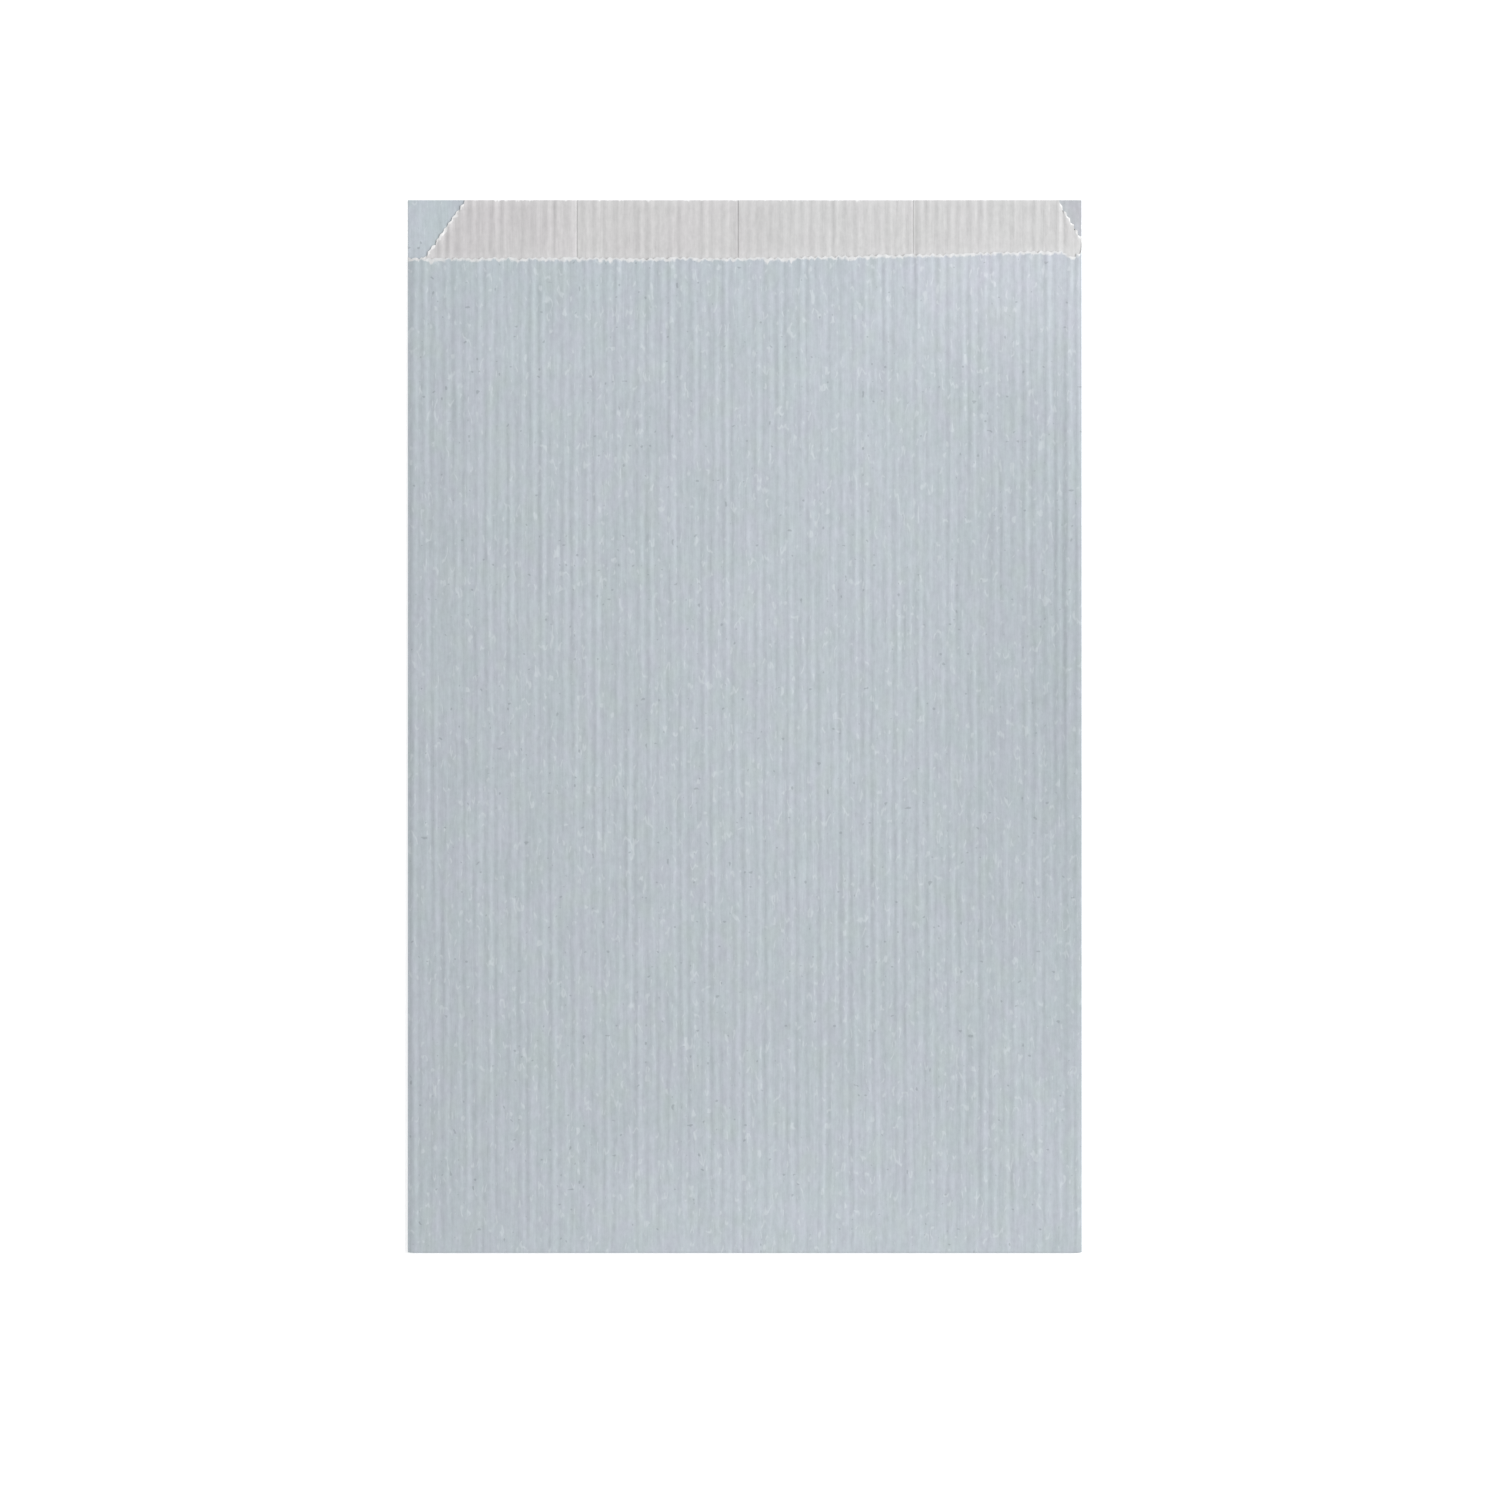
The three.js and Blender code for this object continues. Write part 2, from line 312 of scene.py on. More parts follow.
def lay_columns():
    """The blank's columns as arrays: run, share of the run, turn round the crease after it, u across the
    blank, depth of the knife's line, and the tooth that shifts the cut there."""
    columns = []
    u = 0.0
    stops = knife_stops()
    per_tooth = len(tooth_shape)
    for index, corners in enumerate(stops):
        rows = []
        way = np.sign(corners[-1][0] - corners[0][0])
        length = abs(corners[-1][0] - corners[0][0])
        for (x0, d0, step, serrated), (x1, d1, _, _) in zip(corners, corners[1:]):
            slant = math.hypot(x1 - x0, d1 - d0)
            parts = max(1, round(slant / step))
            if serrated:
                parts = per_tooth * max(1, round(parts / per_tooth))
            size = tooth_depth * (1 if index == FRONT_RUN else slant_teeth)
            depths = size * rng.uniform(*tooth_spread, parts // per_tooth + 1)
            for k in range(parts):
                share = k / parts
                x = x0 + (x1 - x0) * share
                bite = tooth_shape[k % per_tooth] * depths[k // per_tooth] if serrated else 0
                across = (-bite * (d1 - d0) / slant, bite * abs(x1 - x0) / slant)
                along = abs(x - corners[0][0])
                rows.append((index, along / length, 0, u + along, d0 + (d1 - d0) * share, *across, way))
        last_depth = corners[-1][1]
        rows.append((index, 1, 0, u + length, last_depth, 0, 0, way))
        columns.extend(beside_creases(rows))
        u += length
        if index + 1 < len(stops):
            next_depth = stops[index + 1][0][1]
            bend = math.pi * mouth_pitch / 2
            for k in range(1, bend_steps):
                t = k / bend_steps
                depth = last_depth + (next_depth - last_depth) * t
                columns.append((index, 1, math.pi * t, u + bend * t, depth, 0, 0, way))
            u += bend
    names = ("run", "share", "turn", "u", "depth", "tooth_x", "tooth_y", "way")
    return {name: np.array(values, float) for name, values in zip(names, zip(*columns))}


col = lay_columns()
run_of = col["run"].astype(int)
levels = np.array([run["level"] for run in RUNS])
level_of = levels[run_of].astype(float)
rise_of = np.append(np.diff(levels), 0)[run_of]
starts = np.array([run["start"] for run in RUNS])[run_of]
ends = np.array([run["end"] for run in RUNS])[run_of]
is_front = run_of == FRONT_RUN
is_inner_seam_ply = run_of == INNER_SEAM_RUN
from_seam_edge = np.where(is_inner_seam_ply, col["u"][-1] - col["u"], col["u"])
in_lap = np.where(level_of == 0, smooth((seam_lap + seam_ramp - from_seam_edge) / seam_ramp), 0)

# Where the bag lies: the turned-up bottom and the mouth of the back both touch the floor
fold_axis = -paper / 2 - fold_bore
fold_radius = 3 * pressed_pitch + paper / 2 - fold_axis
axis_y = bag_bottom + fold_radius
panel_length = bag_length - fold_radius
mouth_base = paper / 2 + RIB_SETS[0][1]
front_middle = np.mean(col["u"][is_front])


def section(pitch, tooth=0.0, sink=0.0, lowered=0.0):
    """The paper's middle line across the bag, for plies that lie one pitch apart: x, height, and the
    normal that points out of the bag. The front sinks by the share of a pitch in sink, and the plies above
    the second come down by the share in lowered."""
    start = starts[:, 2] * (starts[:, 0] + starts[:, 1] * pitch)
    end = ends[:, 2] * (ends[:, 0] + ends[:, 1] * pitch)
    turn = col["turn"]
    x = start + (end - start) * col["share"] + col["way"] * tooth * col["tooth_x"]
    x = x + col["way"] * np.sin(turn) * pitch / 2
    level = level_of + rise_of * (1 - np.cos(turn)) / 2
    past_gusset = gusset_x - np.abs(x)
    dip = sum(share * smooth(past_gusset / width) for share, width in sink_steps)
    level = level - np.where(is_front, sink * dip, 0)
    level = level - lowered * np.clip(level - 1, 0, None)
    from_edge = half_width - np.abs(x)
    pressed = 1 - np.where(x < 0, *edge_press) * np.exp(-((from_edge / edge_roll) ** 2))
    pressed = pressed - np.where(is_front, 0, fold_press * np.exp(-((past_gusset / edge_roll) ** 2)))
    height = pitch * level * pressed
    climb = (seam_edge_x + seam_lap + seam_room + seam_ramp - x) / seam_ramp
    height = height + np.where(is_inner_seam_ply, seam_pitch * smooth(climb), 0)
    nx = -rise_of * np.sin(turn)
    nz = col["way"] * np.cos(turn)
    return x, height, nx, nz


def lip_depth(x):
    """Depth of the front's lip below the top of the back."""
    bends = (-half_width, lip_bend_x, half_width - notch_start)
    return np.interp(x, bends, (lip_left, lip_left, lip_right))


def ribs(u, v):
    """Height of the ribs at a place on the blank, uneven from rib to rib and slowly changing along it."""
    strength = 1 + layered(u, v, RIB_STRENGTH)
    from_middle = u - front_middle + layered(u, v, RIB_WANDER)
    waves = 0
    for pitch, height, crest, drift in RIB_SETS:
        along = drift * (v - bag_length / 2)
        waves = waves + height * np.cos(2 * math.pi * (from_middle - crest - along) / pitch)
    stray = layered(u, v, STRAY_RIBS)
    above_lip = smooth((v - panel_length + lip_depth(flat_x) + band_fade[0]) / band_fade[1])
    left_over = np.take(ribs_at_level, level_of.astype(int)) + np.take(band_ribs, run_of) * above_lip
    glued = 1 - (1 - np.take(lap_ribs, is_inner_seam_ply.astype(int))) * in_lap
    return left_over * glued * under_fold * (strength * waves + stray)


def sag(x, y):
    """Soft waves of the whole bag, and so of all its plies. Its sides and mouth stay down."""
    from_side, from_mouth = half_width - np.abs(x), bag_bottom + bag_length - y
    inside = smooth(from_side / sag_margins[0]) * smooth(from_mouth / sag_margins[1])
    return inside * (sag_height + layered(x, y, SAG_WAVES))


def front_ridge(x, y):
    """A soft ridge that the front ply has beside its right edge."""
    along = smooth((y - ridge_ends[0]) / ridge_fades[0]) * smooth((ridge_ends[1] - y) / ridge_fades[1])
    return np.where(is_front, ridge_height * along * np.exp(-(((x - ridge_x) / ridge_width) ** 2)), 0)


def lip_curl(u, below):
    """The cut edge of the front lifts a little, unevenly."""
    curl = curl_height + layered(u, u, LIP_CURL)
    return np.where(is_front, curl * np.exp(-below / curl_reach), 0)


def back_rise(x, y):
    """Between the gussets the back isn't pressed down, so it stands as high as their inner folds."""
    free = smooth((gusset_x + back_tuck - np.abs(x)) / back_ramp)
    free = free * smooth((y - back_free[0]) / (back_free[1] - back_free[0]))
    return np.where(level_of == 0, back_stand * free, 0)


# Rows of the mesh beside a cut: (distance from the cut in millimetres, share of the tooth's bite)
near_cut = ((0, 1), (0.25, 0.9), (0.55, 0.6), (1.0, 0.3), (1.8, 0.1), (3.2, 0), (5.5, 0))
flap_near_cut = ((3.0, 0), (1.6, 0.2), (0.8, 0.6), (0.35, 0.9), (0, 1))
panel_rows = 24
flap_rows = 5
fold_rows = 8
far_from_cut = 50        # distance from the cut that is noted at the bottom fold, beyond any fringe
fold_squareness = 0.62   # below 1 the bottom fold is pressed squarer than a half circle


def fold_rows_of_blank():
    """Every row of the blank from the mouth to the end of the turned-up bottom, as the places of its outer
    and inner faces, its v and its distance from the cut."""
    rows = []

    def panel_row(v, tooth, from_cut):
        share = v / panel_length
        pitch = pressed_pitch + (mouth_pitch - pressed_pitch) * share ** loosening
        slack = smooth(v / slack_reach)
        x, height, nx, nz = section(pitch, tooth, sink=front_sink * slack)
        y = axis_y + v
        back_at_fold = fold_radius - fold_axis
        base = back_at_fold + (mouth_base - back_at_fold) * share
        lift = ribs(col["u"], v) * smooth((v - bottom_crush[0]) / bottom_crush[1]) * crushed
        z = base + height + sag(x, y) * slack + front_ridge(x, y)
        z = z + lip_curl(col["u"], from_cut) + back_rise(x, y)
        faces = []
        for side in (1, -1):
            off = lift + side * paper / 2
            faces.append(np.stack([x + off * nx, y, z + off * nz], axis=1))
        rows.append((*faces, v, from_cut))

    wander = layered(col["u"], col["u"], LIP_WANDER)
    cut = panel_length - col["depth"] + np.where(is_front, wander, 0)
    for below, tooth in near_cut:
        panel_row(cut - below - tooth * col["tooth_y"], tooth, np.full_like(cut, below))
    lowest_near = near_cut[-1][0]
    for k in range(1, panel_rows):
        v = (cut - lowest_near) * (1 - k / panel_rows)
        panel_row(v, 0, lowest_near + (cut - lowest_near) * k / panel_rows)

    x, height, nx, nz = section(pressed_pitch)
    for k in range(fold_rows + 1):
        turn = math.pi * k / fold_rows
        out = math.sin(turn) ** fold_squareness
        up = math.copysign(abs(math.cos(turn)) ** fold_squareness, math.cos(turn))
        faces = []
        for side in (1, -1):
            off = side * paper / 2
            radius = height + off * nz - fold_axis
            faces.append(np.stack([
                x + off * nx,
                axis_y - radius * out,
                fold_radius + radius * up,
            ], axis=1))
        rows.append((*faces, np.full_like(x, -turn * fold_radius / 2), np.full_like(x, far_from_cut)))

    reach_end = flap_stub + col["depth"]

    def flap_row(reach, tooth, from_cut):
        lowered = flap_drop * smooth((reach - flap_stub - flap_ramp[0]) / flap_ramp[1])
        x, height, nx, nz = section(pressed_pitch, tooth, lowered=lowered)
        faces = []
        for side in (1, -1):
            off = side * paper / 2
            radius = height + off * nz - fold_axis
            faces.append(np.stack([x + off * nx, axis_y + reach, fold_radius - radius], axis=1))
        rows.append((*faces, -reach - math.pi * fold_radius / 2, from_cut))

    first_near = flap_near_cut[0][0]
    for k in range(1, flap_rows):
        reach = (reach_end - first_near) * k / flap_rows
        flap_row(reach, 0, reach_end - reach)
    for above, tooth in flap_near_cut:
        flap_row(reach_end - above + tooth * col["tooth_y"], tooth, np.full_like(x, above))
    return rows


def fringe_offset(x):
    """How much narrower the fringe is at each column: gone on the straight cuts, deep at the tears."""
    offset = clean_cut * (1 - smooth(col["depth"] / toothed_from))
    offset = offset + np.where(run_of == RIGHT_SLANT_RUN, thin_slant, 0)
    for tear in fringe_tears:
        offset = offset - np.where(is_front, tear_depth * np.exp(-(((x - tear) / tear_width) ** 2)), 0)
    return offset


def painted_light_and_hue_tint(x, y):
    """Painted light and shade over the bag, with some changes of the print's hue, as a factor for each
    colour. Painted light makes the gussets' inner folds and the front's bottom fold paler.
    """
    tint = np.ones((*x.shape, 3))
    for level, (middle_x, middle_y), (spread_x, spread_y), change in PAINTED_LIGHT_AND_HUE_PATCHES:
        patch = np.exp(-(((x - middle_x) / spread_x) ** 2) - ((y - middle_y) / spread_y) ** 2)
        tint = tint * (1 + np.where(level_of == level, patch, 0)[..., None] * np.array(change))
    # painted light on the gussets' inner folds and along the front's bottom fold, which lifts their dark
    # shading
    painted_gusset_light = gusset_painted_light[0] * np.exp(-(((np.abs(x) - gusset_x) / gusset_painted_light[1]) ** 2))
    painted_bottom_light = bottom_painted_light[0] * np.exp(-(((y - bag_bottom) / bottom_painted_light[1]) ** 2))
    painted_fold_light = np.where(is_front, painted_bottom_light, np.where(level_of == 0, 0, painted_gusset_light))
    return tint * (1 + painted_fold_light[..., None])


def height_above_lip(x, y):
    """Distance of a place above the front's lip, towards the mouth."""
    return y - (bag_bottom + bag_length - lip_depth(x))


def crease_distance():
    """Distance of each column from the nearest crease, across the blank."""
    creases = col["u"][col["turn"] > 0]
    return np.min(np.abs(col["u"][:, None] - creases[None, :]), axis=1)


crushed = smooth((crease_distance() - crease_crush[0]) / crease_crush[1])
flat_x = section(mouth_pitch)[0]
from_fold = np.abs(flat_x) - gusset_x
under_fold = 1 - np.where(level_of == 0, np.exp(-((from_fold / fold_shade) ** 2)), 0)


def build_bag(materials):
    """One closed mesh: outer faces, inner faces and the cut edges between them."""
    rows = fold_rows_of_blank()
    across, down = len(col["u"]), len(rows)
    outer = np.array([row[0] for row in rows])
    inner = np.array([row[1] for row in rows])
    points = np.concatenate([outer.reshape(-1, 3), inner.reshape(-1, 3)]) * MM
    v_of = np.array([np.broadcast_to(row[2], across) for row in rows])
    cut_of = np.array([np.broadcast_to(row[3], across) for row in rows]) + fringe_offset(outer[0, :, 0])

    grid = np.arange(down * across).reshape(down, across)
    a, b = grid[1:, :-1].ravel(), grid[1:, 1:].ravel()
    c, d = grid[:-1, 1:].ravel(), grid[:-1, :-1].ravel()
    outside = np.stack([a, b, c, d], axis=1)
    under = down * across
    inside = np.stack([d, c, b, a], axis=1) + under

    def edge_wall(chain):
        p, q = chain[:-1], chain[1:]
        return np.stack([p, q, q + under, p + under], axis=1)

    walls = np.concatenate([
        edge_wall(grid[0]),
        edge_wall(grid[-1][::-1]),
        edge_wall(grid[::-1, 0]),
        edge_wall(grid[:, -1]),
    ])
    faces = np.concatenate([outside, inside, walls])
    mesh = bpy.data.meshes.new("paper_bag_sheet")
    mesh.from_pydata(points.tolist(), [], faces.tolist())
    kinds = np.repeat([PRINT, INSIDE, CUT_EDGE], [len(outside), len(inside), len(walls)])
    mesh.polygons.foreach_set("material_index", kinds.astype(np.int32))
    mesh.polygons.foreach_set("use_smooth", np.ones(len(faces), bool))

    blank = mesh.attributes.new("blank", "FLOAT_VECTOR", "POINT")
    place = np.stack([np.tile(col["u"], down), v_of.ravel(), np.zeros(under)], axis=1)
    blank.data.foreach_set("vector", np.concatenate([place, place]).ravel())
    # painted light and shade, with some changes of hue, kept for the materials
    tint = mesh.attributes.new("painted_light_and_hue_tint", "FLOAT_VECTOR", "POINT")
    tint_of = painted_light_and_hue_tint(outer[..., 0], outer[..., 1]).reshape(-1, 3)
    tint.data.foreach_set("vector", np.concatenate([tint_of, tint_of]).ravel())
    above = mesh.attributes.new("above_lip", "FLOAT", "POINT")
    above_of = height_above_lip(outer[..., 0], outer[..., 1]).ravel()
    above.data.foreach_set("value", np.concatenate([above_of, above_of]))
    cut = mesh.attributes.new("from_cut", "FLOAT", "POINT")
    cut.data.foreach_set("value", np.tile(cut_of.ravel(), 2))
    for material in materials:
        mesh.materials.append(material)
    mesh.validate()
    mesh.update()
    mark_cut_edges(mesh)
    bag = bpy.data.objects.new("paper_bag_sheet", mesh)
    bpy.context.scene.collection.objects.link(bag)
    return bag


def mark_cut_edges(mesh):
    """The edge between a face of the paper and its cut edge is sharp."""
    edge_count = len(mesh.edges)
    loop_edges = np.empty(len(mesh.loops), np.int32)
    mesh.loops.foreach_get("edge_index", loop_edges)
    totals = np.empty(len(mesh.polygons), np.int32)
    mesh.polygons.foreach_get("loop_total", totals)
    kinds = np.empty(len(mesh.polygons), np.int32)
    mesh.polygons.foreach_get("material_index", kinds)
    is_wall = np.repeat(kinds == CUT_EDGE, totals)
    on_wall = np.zeros(edge_count, bool)
    on_face = np.zeros(edge_count, bool)
    on_wall[loop_edges[is_wall]] = True
    on_face[loop_edges[~is_wall]] = True
    sharp = mesh.attributes.new("sharp_edge", "BOOLEAN", "EDGE")
    sharp.data.foreach_set("value", on_wall & on_face)


class Nodes:
    """Short calls for laying out one node tree."""

    def __init__(self, tree):
        self.tree = tree

    def add(self, kind, inputs=(), **settings):
        node = self.tree.nodes.new(kind)
        for name, value in settings.items():
            setattr(node, name, value)
        for socket, value in dict(inputs).items():
            if isinstance(value, bpy.types.NodeSocket):
                self.tree.links.new(value, node.inputs[socket])
            else:
                node.inputs[socket].default_value = value
        return node

    def math(self, operation, first, second=0.0):
        return self.add("ShaderNodeMath", {0: first, 1: second}, operation=operation).outputs[0]

    def mix_colour(self, factor, first, second, blend="MIX"):
        node = self.add("ShaderNodeMix", data_type="RGBA", blend_type=blend)
        for socket, value in ((0, factor), (6, first), (7, second)):
            if isinstance(value, bpy.types.NodeSocket):
                self.tree.links.new(value, node.inputs[socket])
            else:
                node.inputs[socket].default_value = value
        return node.outputs[2]

    def span(self, value, low, high, to_low=0.0, to_high=1.0):
        node = self.add("ShaderNodeMapRange", {0: value, 1: low, 2: high, 3: to_low, 4: to_high})
        return node.outputs[0]

    def noise(self, across, along, seed, detail=2.0, roughness=0.5):
        """Noise over the blank, with so many cells to the millimetre across it and along it."""
        where = self.add("ShaderNodeAttribute", attribute_name="blank").outputs["Vector"]
        offset = (7.3 * seed, 3.9 * seed, 1.7 * seed)
        settings = {0: where, 1: (across, along, 1.0), 2: offset}
        placed = self.add("ShaderNodeVectorMath", settings, operation="MULTIPLY_ADD").outputs[0]
        settings = {"Vector": placed, "Scale": 1.0, "Detail": detail, "Roughness": roughness}
        return self.add("ShaderNodeTexNoise", settings).outputs["Fac"]


def new_group(name, inputs, outputs):
    group = bpy.data.node_groups.new(name, "ShaderNodeTree")
    for label, value in inputs.items():
        socket = group.interface.new_socket(name=label, in_out="INPUT", socket_type="NodeSocketFloat")
        socket.default_value = value
    for label in outputs:
        group.interface.new_socket(name=label, in_out="OUTPUT", socket_type="NodeSocketFloat")
    nodes = Nodes(group)
    return group, nodes, nodes.add("NodeGroupInput"), nodes.add("NodeGroupOutput")


def rib_streak_group():
    """Streaks along the web: thin light and dark lines where the rolled ribs take more or less ink."""
    group, n, _, out = new_group("rib_streaks", {}, ["Tone", "Height"])
    fine = n.noise(1.2, 0.05, 1, 2.0, 0.55)
    wide = n.noise(0.62, 0.02, 2, 1.0)
    broken = n.noise(1.0, 0.30, 3, 1.0)
    both = n.math("ADD", n.span(fine, 0.3, 0.7, -0.7, 0.7), n.span(wide, 0.3, 0.7, -0.3, 0.3))
    part = n.math("MULTIPLY", both, n.span(broken, 0.3, 0.7, 0.2, 1.8))
    n.tree.links.new(part, out.inputs["Tone"])
    n.tree.links.new(n.span(part, -1, 1), out.inputs["Height"])
    return group


def fibre_group():
    """Paper fibres: a cloudy formation, short fibres along the web, light curled flecks and dark specks."""
    group, n, _, out = new_group("paper_fibres", {}, ["Tone", "Fleck", "Speck", "Height"])
    cloud = n.noise(0.10, 0.07, 4, 3.0, 0.6)
    grain = n.noise(1.25, 1.0, 5, 2.0, 0.65)
    short = n.noise(1.05, 0.30, 6, 2.0, 0.6)
    tone = n.math("ADD", n.span(cloud, 0.3, 0.7, -0.2, 0.2), n.span(grain, 0.3, 0.7, -0.45, 0.45))
    tone = n.math("ADD", tone, n.span(short, 0.3, 0.7, -0.55, 0.55))
    n.tree.links.new(tone, out.inputs["Tone"])
    off_line = n.math("ABSOLUTE", n.math("SUBTRACT", n.noise(0.62, 0.20, 7, 1.0), 0.5))
    line = n.span(off_line, 0.012, 0.06, 1.0, 0.0)
    fleck = n.math("MULTIPLY", line, n.span(n.noise(0.75, 0.5, 8, 0.0), 0.62, 0.70))
    speck = n.span(n.noise(0.95, 0.85, 9, 0.0), 0.80, 0.84)
    n.tree.links.new(fleck, out.inputs["Fleck"])
    n.tree.links.new(speck, out.inputs["Speck"])
    height = n.math("ADD", n.math("MULTIPLY", grain, 0.5), n.math("MULTIPLY", short, 0.5))
    n.tree.links.new(n.math("ADD", height, n.math("MULTIPLY", fleck, 0.15)), out.inputs["Height"])
    return group


def cut_fringe_group():
    """Mask of the bare white fringe that the serrated knife leaves along a cut."""
    group, n, given, out = new_group("cut_fringe", {"Width": 0.5, "Fluff": 0.0}, ["Mask"])
    distance = n.add("ShaderNodeAttribute", attribute_name="from_cut").outputs["Fac"]
    ragged = n.noise(0.8, 0.5, 10, 2.0, 0.6)
    reach = n.math("MULTIPLY", given.outputs["Width"], n.span(ragged, 0.3, 0.7, 0.2, 1.8))
    bare = n.span(n.math("SUBTRACT", reach, distance), -0.32, 0.24)
    fluff = n.math("MULTIPLY", n.span(distance, 0.2, 3.2, 1.0, 0.0), given.outputs["Fluff"])
    n.tree.links.new(n.math("MAXIMUM", bare, fluff), out.inputs["Mask"])
    return group


STREAKS = rib_streak_group()
FIBRES = fibre_group()
FRINGE = cut_fringe_group()


def place_group(nodes, group, **values):
    node = nodes.add("ShaderNodeGroup", node_tree=group)
    for name, value in values.items():
        node.inputs[name].default_value = value
    return node


def tinted(nodes, colour, tone, share):
    """A colour made lighter or darker by a tone that runs from about -1 to 1."""
    bright = nodes.math("ADD", nodes.math("MULTIPLY", tone, share), 1.0)
    grey = nodes.add("ShaderNodeCombineColor", {0: bright, 1: bright, 2: bright}).outputs[0]
    return nodes.mix_colour(1.0, colour, grey, "MULTIPLY")


def paper_material(name, roughness):
    material = bpy.data.materials.new(name)
    material.use_nodes = True
    nodes = Nodes(material.node_tree)
    shader = material.node_tree.nodes["Principled BSDF"]
    shader.inputs["Roughness"].default_value = roughness
    shader.inputs["Specular IOR Level"].default_value = 0.3
    return material, nodes, shader


def add_bump(nodes, shader, height, depth, strength):
    """Fine relief, as deep as the given part of a millimetre."""
    bump = nodes.add("ShaderNodeBump", {"Height": height, "Distance": depth * MM, "Strength": strength})
    nodes.tree.links.new(bump.outputs["Normal"], shader.inputs["Normal"])


def printed_paper():
    """Silver blue-grey print with streaks, fibres and faint clouds, and bare paper along the cuts."""
    material, n, shader = paper_material("printed_paper", 0.62)
    streaks = place_group(n, STREAKS)
    fibres = place_group(n, FIBRES)
    fringe = place_group(n, FRINGE, Width=0.62)
    hue = n.span(n.noise(0.16, 0.12, 11, 3.0, 0.6), 0.35, 0.65)
    ink = n.mix_colour(hue, SILVER_BLUE, SILVER_MAUVE)
    greenish = n.span(n.noise(0.19, 0.13, 14, 1.0), 0.52, 0.70, 0.0, 0.5)
    ink = n.mix_colour(greenish, ink, SILVER_GREEN)
    ink = tinted(n, ink, streaks.outputs["Tone"], 0.05)
    ink = tinted(n, ink, fibres.outputs["Tone"], 0.083)
    ink = n.mix_colour(n.math("MULTIPLY", fibres.outputs["Fleck"], 0.6), ink, PALE_FIBRE)
    ink = n.mix_colour(n.math("MULTIPLY", fibres.outputs["Speck"], 0.42), ink, DARK_SPECK)
    # painted light and shade, with some changes of hue, from the patches and on the folds
    tint = n.add("ShaderNodeAttribute", attribute_name="painted_light_and_hue_tint").outputs["Color"]
    ink = n.mix_colour(1.0, ink, tint, "MULTIPLY")
    ink = n.mix_colour(n.math("MULTIPLY", fringe.outputs["Mask"], 0.85), ink, PRINT_FRINGE)
    n.tree.links.new(ink, shader.inputs["Base Color"])
    height = n.math("ADD", streaks.outputs["Height"], fibres.outputs["Height"])
    add_bump(n, shader, height, depth=0.03, strength=0.6)
    return material


def white_inside():
    """The bare inside of the paper, greyed by the print behind it, with lint above the front's lip."""
    material, n, shader = paper_material("white_inside", 0.8)
    streaks = place_group(n, STREAKS)
    fibres = place_group(n, FIBRES)
    fringe = place_group(n, FRINGE, Width=1.05, Fluff=0.3)
    hue = n.span(n.noise(0.11, 0.08, 12), 0.38, 0.62)
    bare = n.mix_colour(hue, INSIDE_GREY, INSIDE_PINK)
    # painted light and shade, with some changes of hue, from the patches and on the folds
    tint = n.add("ShaderNodeAttribute", attribute_name="painted_light_and_hue_tint").outputs["Color"]
    bare = n.mix_colour(1.0, bare, tint, "MULTIPLY")
    bare = tinted(n, bare, streaks.outputs["Tone"], 0.05)
    bare = tinted(n, bare, fibres.outputs["Tone"], 0.08)
    bare = n.mix_colour(n.math("MULTIPLY", fringe.outputs["Mask"], 0.9), bare, INSIDE_FRINGE)
    above_lip = n.add("ShaderNodeAttribute", attribute_name="above_lip").outputs["Fac"]
    patchy = n.span(n.noise(0.7, 0.5, 13), 0.3, 0.65, 0.3, 1.0)
    lint = n.math("MULTIPLY", n.span(above_lip, -0.2, 1.7, 0.28, 0.0), patchy)
    bare = n.mix_colour(lint, bare, INSIDE_LINT)
    n.tree.links.new(bare, shader.inputs["Base Color"])
    height = n.math("ADD", streaks.outputs["Height"], fibres.outputs["Height"])
    add_bump(n, shader, height, depth=0.04, strength=0.6)
    return material


def cut_edge():
    """The toothed edge of the paper: bare white fibres."""
    material, n, shader = paper_material("cut_edge", 0.9)
    fibres = place_group(n, FIBRES)
    fluff = tinted(n, CUT_FLUFF, fibres.outputs["Tone"], 0.1)
    n.tree.links.new(fluff, shader.inputs["Base Color"])
    add_bump(n, shader, fibres.outputs["Height"], depth=0.05, strength=0.8)
    return material


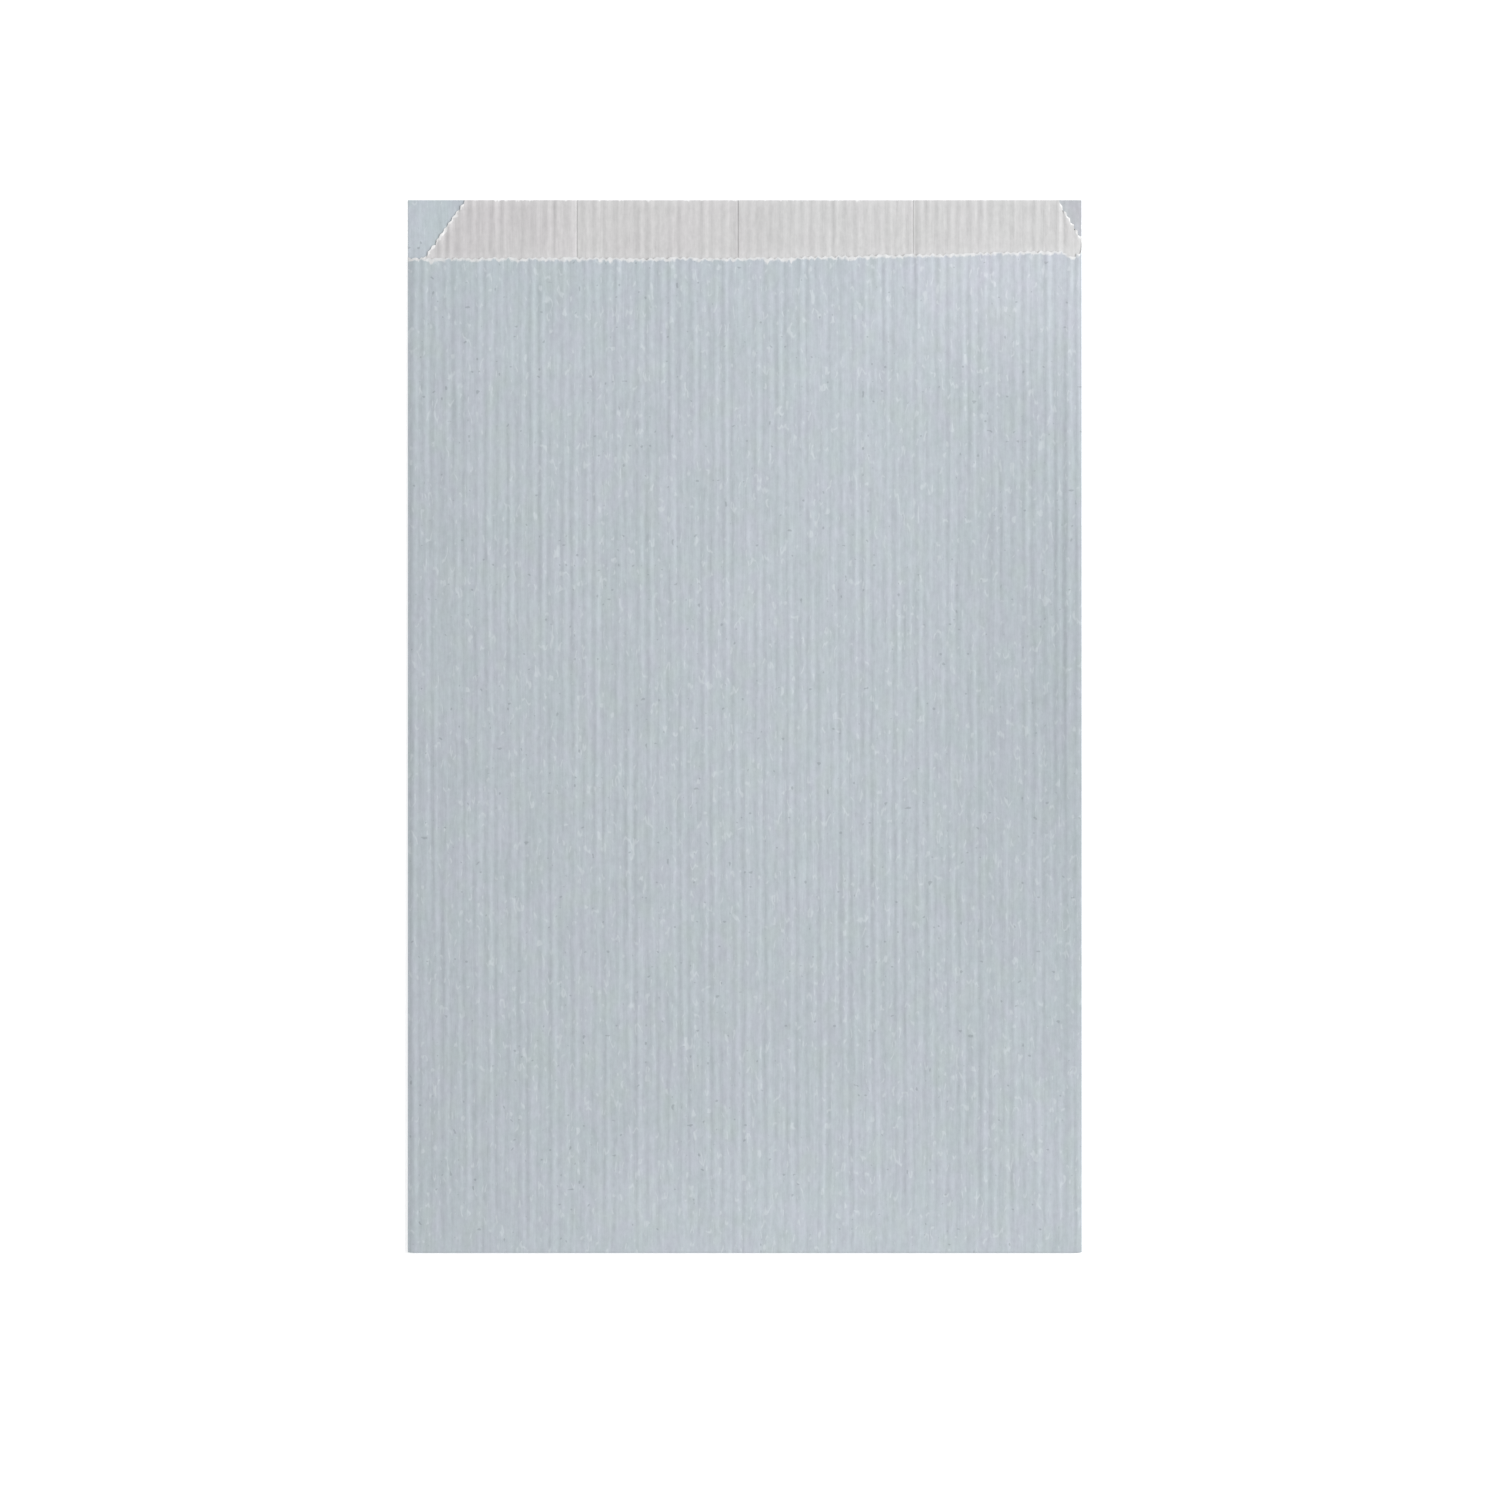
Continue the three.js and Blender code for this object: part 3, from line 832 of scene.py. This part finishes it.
def pale_floor():
    """The pale ground of the photograph, just under the bag."""
    material = bpy.data.materials.new("pale_floor")
    material.use_nodes = True
    shader = material.node_tree.nodes["Principled BSDF"]
    shader.inputs["Base Color"].default_value = (0.94, 0.94, 0.94, 1)
    shader.inputs["Emission Color"].default_value = (1, 1, 1, 1)
    shader.inputs["Emission Strength"].default_value = 0.45
    shader.inputs["Roughness"].default_value = 0.9
    shader.inputs["Specular IOR Level"].default_value = 0.1
    mesh = bpy.data.meshes.new("floor")
    reach = 3.0
    floor_gap = 0.05
    corners = [(-reach, -reach, 0), (reach, -reach, 0), (reach, reach, 0), (-reach, reach, 0)]
    mesh.from_pydata(corners, [], [(0, 1, 2, 3)])
    mesh.materials.append(material)
    floor = bpy.data.objects.new("floor", mesh)
    floor.location.z = -floor_gap * MM
    bpy.context.scene.collection.objects.link(floor)


def soft_studio():
    """A broad fill from all round and one soft key from the right and a little above."""
    fill = 0.52
    key_size = 1.2
    key_power = 23.5
    key_place = (1.15, 0.45, 0.80)
    world = bpy.data.worlds.new("studio")
    world.use_nodes = True
    world.node_tree.nodes["Background"].inputs["Color"].default_value = (1, 1, 1, 1)
    world.node_tree.nodes["Background"].inputs["Strength"].default_value = fill
    bpy.context.scene.world = world
    light = bpy.data.lights.new("key", "AREA")
    light.shape = "DISK"
    light.size = key_size
    light.energy = key_power
    key = bpy.data.objects.new("key", light)
    key.location = key_place
    key.rotation_mode = "QUATERNION"
    key.rotation_quaternion = (Vector((0, 0, 0)) - key.location).to_track_quat("-Z", "Y")
    bpy.context.scene.collection.objects.link(key)
    bpy.context.scene.view_settings.view_transform = "Standard"
    bpy.context.scene.view_settings.look = "None"


def straight_down_camera():
    """The photograph's view: straight at the front panel, from far enough off to look flat."""
    frame_width = 356.1 * MM
    aim = Vector((1.22, -5.58, 0.5)) * MM
    data = bpy.data.cameras.new("camera")
    data.lens = 150
    data.sensor_width = 36
    camera = bpy.data.objects.new("camera", data)
    camera.location = aim + Vector((0, 0, frame_width * data.lens / data.sensor_width))
    bpy.context.scene.collection.objects.link(camera)
    bpy.context.scene.camera = camera


bag = build_bag([printed_paper(), white_inside(), cut_edge()])
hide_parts("paper_bag")
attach(bag, "root")

pale_floor()
soft_studio()
straight_down_camera()
